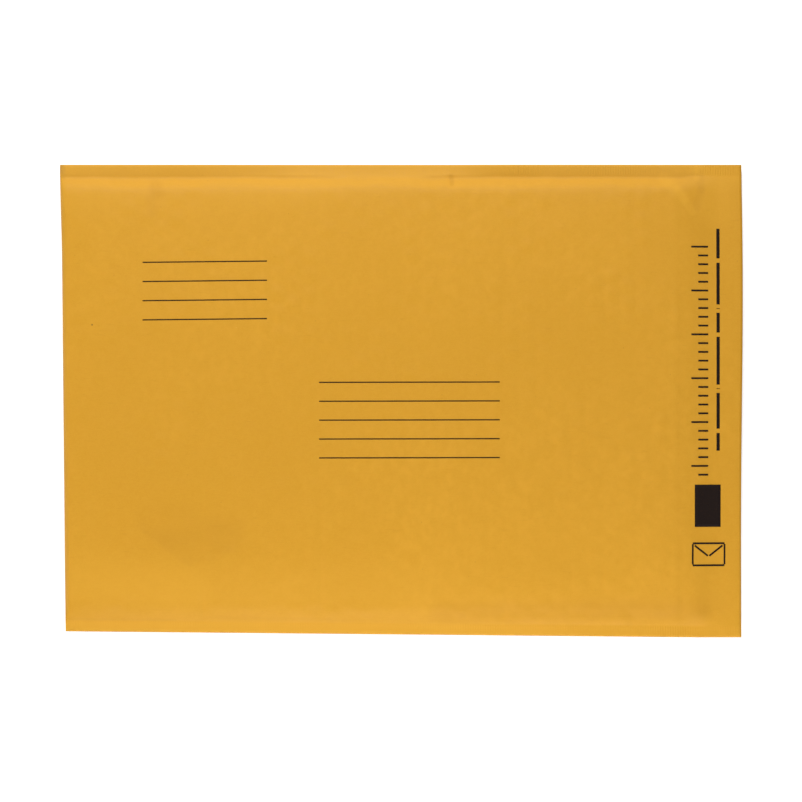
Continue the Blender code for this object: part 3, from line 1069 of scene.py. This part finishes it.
def add_bubble_film(material):
    """The padding: a pouch of bubble film with its bubbles towards the kraft paper."""
    whole = bmesh.new()
    makers = ((film_bag,), (weld_strip, True), (weld_strip, False), (film_bubbles,))
    for make, *given in makers:
        part = bmesh.new()
        make(part, *given)
        mesh = finished_mesh("part", part)
        whole.from_mesh(mesh)
        bpy.data.meshes.remove(mesh)
    piece = add_piece("bubble_film_lining", whole, material, ["bubble_lining"])


def add_flap_sheet(name, start, end, depth, thickness, material, replaced):
    """A strip under the flap, between its shoulders."""
    alongs = [("front", s) for s in steps(end, start, 10)]
    points = sheet_points(alongs, across_places([SEAM_WIDTH + SHOULDER_RUN], 110))
    points[:, :, 2] -= depth
    bm = bmesh.new()
    bend_grid(bm, points)
    face_up(bm)
    piece = add_piece(name, bm, material, [replaced])
    thicken(piece, thickness, -1)


def add_ink(name, bm, material, replaced=()):
    """Flat shapes of ink, laid on the printed front."""
    x, y = np.array([v.co.xy for v in bm.verts]).T
    for vertex, height in zip(bm.verts, front_face(plan_s(x, y), y)):
        vertex.co.z = height + INK_LIFT
    piece = add_piece(name, bm, material, replaced)
    thicken(piece, INK_THICKNESS, 0)


def ink_bar(bm, start, end, width):
    """A straight bar of ink between two points, in cells short enough to follow the paper."""
    run = Vector(end) - Vector(start)
    middle = (Vector(start) + Vector(end)) / 2
    made = bmesh.ops.create_grid(
        bm,
        x_segments=max(1, math.ceil(run.length / INK_CELL)),
        y_segments=max(1, round(width / INK_CELL)),
        size=0.5,
    )["verts"]
    place = (
        Matrix.Translation((middle.x, middle.y, 0))
        @ Matrix.Rotation(math.atan2(run.y, run.x), 4, "Z")
        @ Matrix.Diagonal((run.length, width, 1, 1))
    )
    bmesh.ops.transform(bm, matrix=place, verts=made)


def add_rules(name, rules, material):
    """The printed lines of an address block."""
    count, length, start, pitch, tilt = rules
    for number in range(count):
        bm = bmesh.new()
        x, y = FOLD_X + start[0], TOP_EDGE - start[1] - number * pitch
        end = (x + length * math.cos(tilt), y + length * math.sin(tilt))
        ink_bar(bm, (x, y), end, RULE_WIDTH + INK_SPREAD)
        add_ink(f"{name}_ink_{number + 1}", bm, material, [f"{name}_{number + 1}"])


def pixel_bar(bm, from_px, from_py, to_px, to_py, width_px):
    """An ink bar whose ends and width are pixels of the photograph."""
    ink_bar(bm, at_pixel(from_px, from_py), at_pixel(to_px, to_py), width_px * METRES_A_PIXEL)


# the flap's marks, all in pixels of the photograph
FINE_WIDTH = 1.7
SCALE_COUNT = 27
SCALE_TOP = 247
SCALE_PITCH = 8.75
SCALE_RIGHT = 707.5
SCALE_LEFT = 697.5
SCALE_LONG_LEFT = 690.5
DASH_X = 717.5
DASH_TOP = 229.0
DASH_WIDTH = 3.2
DASH_GAP = 4.5
DASH_PITCHES = (34, 46, 4, 24, 52, 4, 40, 22)
BLOCK = (707.0, 484.5, 707.0, 526.5, 26.0)
ENVELOPE = (
    (692.0, 543.0, 724.0, 543.0),
    (692.0, 565.0, 724.0, 565.0),
    (692.0, 543.9, 692.0, 564.1),
    (724.0, 543.9, 724.0, 564.1),
    (694.0, 545.2, 707.2, 555.5),
    (722.0, 545.2, 708.8, 555.5),
)


def flap_marks():
    """The flap's marks by name: each is bars, with their ends and width in pixels."""
    scale, dashes, py = [], [], DASH_TOP
    for number in range(SCALE_COUNT):
        at = SCALE_TOP + number * SCALE_PITCH
        left = SCALE_LEFT if number % 5 else SCALE_LONG_LEFT
        scale.append((SCALE_RIGHT, at, left, at, FINE_WIDTH))
    for pitch in DASH_PITCHES:
        dashes.append((DASH_X, py, DASH_X, py + pitch - DASH_GAP, DASH_WIDTH))
        py += pitch
    envelope = [(*ends, FINE_WIDTH) for ends in ENVELOPE]
    return {"scale": scale, "dash": dashes, "block": [BLOCK], "envelope": envelope}


def add_flap_print(material):
    """Plain marks in the flap's print places: a scale, a dashed line, a block and an envelope."""
    for name, bars in flap_marks().items():
        bm = bmesh.new()
        for bar in bars:
            pixel_bar(bm, *bar)
        add_ink(f"flap_{name}_ink", bm, material)


def seen_directly(tree):
    """1 for what the camera sees straight, in a gloss or through the film, and 0 for light."""
    path = shade_node(tree, "LightPath").outputs
    seen = maths(tree, "MAXIMUM", path["Is Camera Ray"], path["Is Glossy Ray"])
    return maths(tree, "MAXIMUM", seen, path["Is Transmission Ray"])


# how pale the floor is, how much white is added where it is seen, and the world's light
FLOOR_GREY = 0.80
FLOOR_GLOW = 0.66
WORLD_LIGHT = 0.08
WHITE = (1, 1, 1, 1)


def make_floor():
    """A white floor that adds its white only to what the camera and the reflections see."""
    bm = bmesh.new()
    bmesh.ops.create_grid(bm, x_segments=1, y_segments=1, size=6.0)
    floor = add_object("studio_floor", finished_mesh("studio_floor", bm))
    material = bpy.data.materials.new("white_floor")
    material.use_nodes = True
    tree = material.node_tree
    tree.nodes.clear()
    matt = shade_node(tree, "BsdfDiffuse", {"Color": (FLOOR_GREY, FLOOR_GREY, FLOOR_GREY, 1)})
    strength = maths(tree, "MULTIPLY", seen_directly(tree), FLOOR_GLOW)
    glow = shade_node(tree, "Emission", {"Color": WHITE, "Strength": strength})
    both = shade_node(tree, "AddShader", {0: matt.outputs[0], 1: glow.outputs[0]})
    shade_node(tree, "OutputMaterial", {"Surface": both.outputs[0]})
    floor.data.materials.append(material)


def make_world():
    """A dim white light all round, and a white background for what is seen directly."""
    world = bpy.data.worlds.new("soft_studio")
    bpy.context.scene.world = world
    world.use_nodes = True
    tree = world.node_tree
    tree.nodes.clear()
    seen = seen_directly(tree)
    light = shade_node(tree, "Background", {"Color": WHITE, "Strength": WORLD_LIGHT})
    shown = shade_node(tree, "Background", {"Color": WHITE, "Strength": 1.0})
    either = shade_node(tree, "MixShader", {0: seen, 1: light.outputs[0], 2: shown.outputs[0]})
    shade_node(tree, "OutputWorld", {"Surface": either.outputs[0]})


# soft lamps: name, place, the point they face, their two sides in metres, and watts
LAMPS = (
    ("key", (-0.10, 0.93, 0.91), (-0.02, 0.00, 0), (0.6, 0.3), 14.7),
    ("low", (0.00, -0.70, 0.30), (0.00, -0.05, 0), (0.8, 0.15), 2.80),
    ("near", (0.08, -0.42, 0.15), (0.06, -0.08, 0), (0.7, 0.10), 0.78),
    ("side", (-0.55, -0.10, 0.14), (-0.20, -0.02, 0), (0.3, 0.1), 0.28),
    ("mouth", (0.75, 0.00, 0.05), (0.20, 0.00, 0.006), (0.3, 0.05), 0.25),
    ("edge", (-0.70, -0.02, 0.06), (-0.20, 0.00, 0.005), (0.5, 0.06), 0.35),
)


def add_lamp(name, place, aim, size, power):
    lamp = bpy.data.lights.new(name, "AREA")
    lamp.shape = "RECTANGLE"
    lamp.size, lamp.size_y = size
    lamp.energy = power
    made = add_object(name, lamp)
    made.location = place
    made.rotation_euler = (Vector(aim) - Vector(place)).to_track_quat("-Z", "Y").to_euler()
    made.visible_camera = False


def make_camera():
    """The photograph's camera, straight above the mailer."""
    camera = bpy.data.cameras.new("camera")
    camera.sensor_width = 36.0
    camera.lens = camera.sensor_width * CAMERA_DISTANCE / (PHOTO_SIDE * METRES_A_PIXEL)
    camera.clip_end = 20.0
    made = add_object("camera", camera)
    x, y = at_pixel(PHOTO_SIDE / 2, PHOTO_SIDE / 2)
    made.location = (x, y, CAMERA_DISTANCE + OUTLINE_LEVEL)
    bpy.context.scene.camera = made


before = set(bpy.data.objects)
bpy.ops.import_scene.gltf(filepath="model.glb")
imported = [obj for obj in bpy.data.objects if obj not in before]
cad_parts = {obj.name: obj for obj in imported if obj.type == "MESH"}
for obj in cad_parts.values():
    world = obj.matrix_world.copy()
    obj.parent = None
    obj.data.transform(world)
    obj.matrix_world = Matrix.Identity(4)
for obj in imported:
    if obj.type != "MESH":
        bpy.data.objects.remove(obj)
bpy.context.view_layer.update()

fibre_group = make_fibre_group()
speck_group = make_speck_group()
mottle_group = make_mottle_group()
line_group = make_line_group()
kraft = make_kraft(fibre_group, speck_group, mottle_group, line_group)
ink = make_ink(fibre_group)
film = make_film(mottle_group)
adhesive = make_adhesive(mottle_group)
liner = make_liner(fibre_group, speck_group)

add_kraft_sheet(kraft)
add_bubble_film(film)
seal_start = POCKET_LENGTH + ADHESIVE_INSET
seal_end = seal_start + ADHESIVE_WIDTH
add_flap_sheet(
    "flap_adhesive",
    seal_start,
    seal_end,
    PAPER + LAYER_GAP,
    ADHESIVE_THICKNESS,
    adhesive,
    "adhesive_strip",
)
add_flap_sheet(
    "flap_liner",
    seal_start - LINER_NEAR_OVERHANG,
    seal_end + LINER_OVERHANG,
    PAPER + ADHESIVE_THICKNESS + 2 * LAYER_GAP,
    LINER_THICKNESS,
    liner,
    "release_liner",
)
add_rules("return_rule", RETURN_RULES, ink)
add_rules("address_rule", ADDRESS_RULES, ink)
add_flap_print(ink)

make_floor()
make_world()
make_camera()
for lamp_row in LAMPS:
    add_lamp(*lamp_row)

bpy.context.scene.view_settings.view_transform = "Standard"
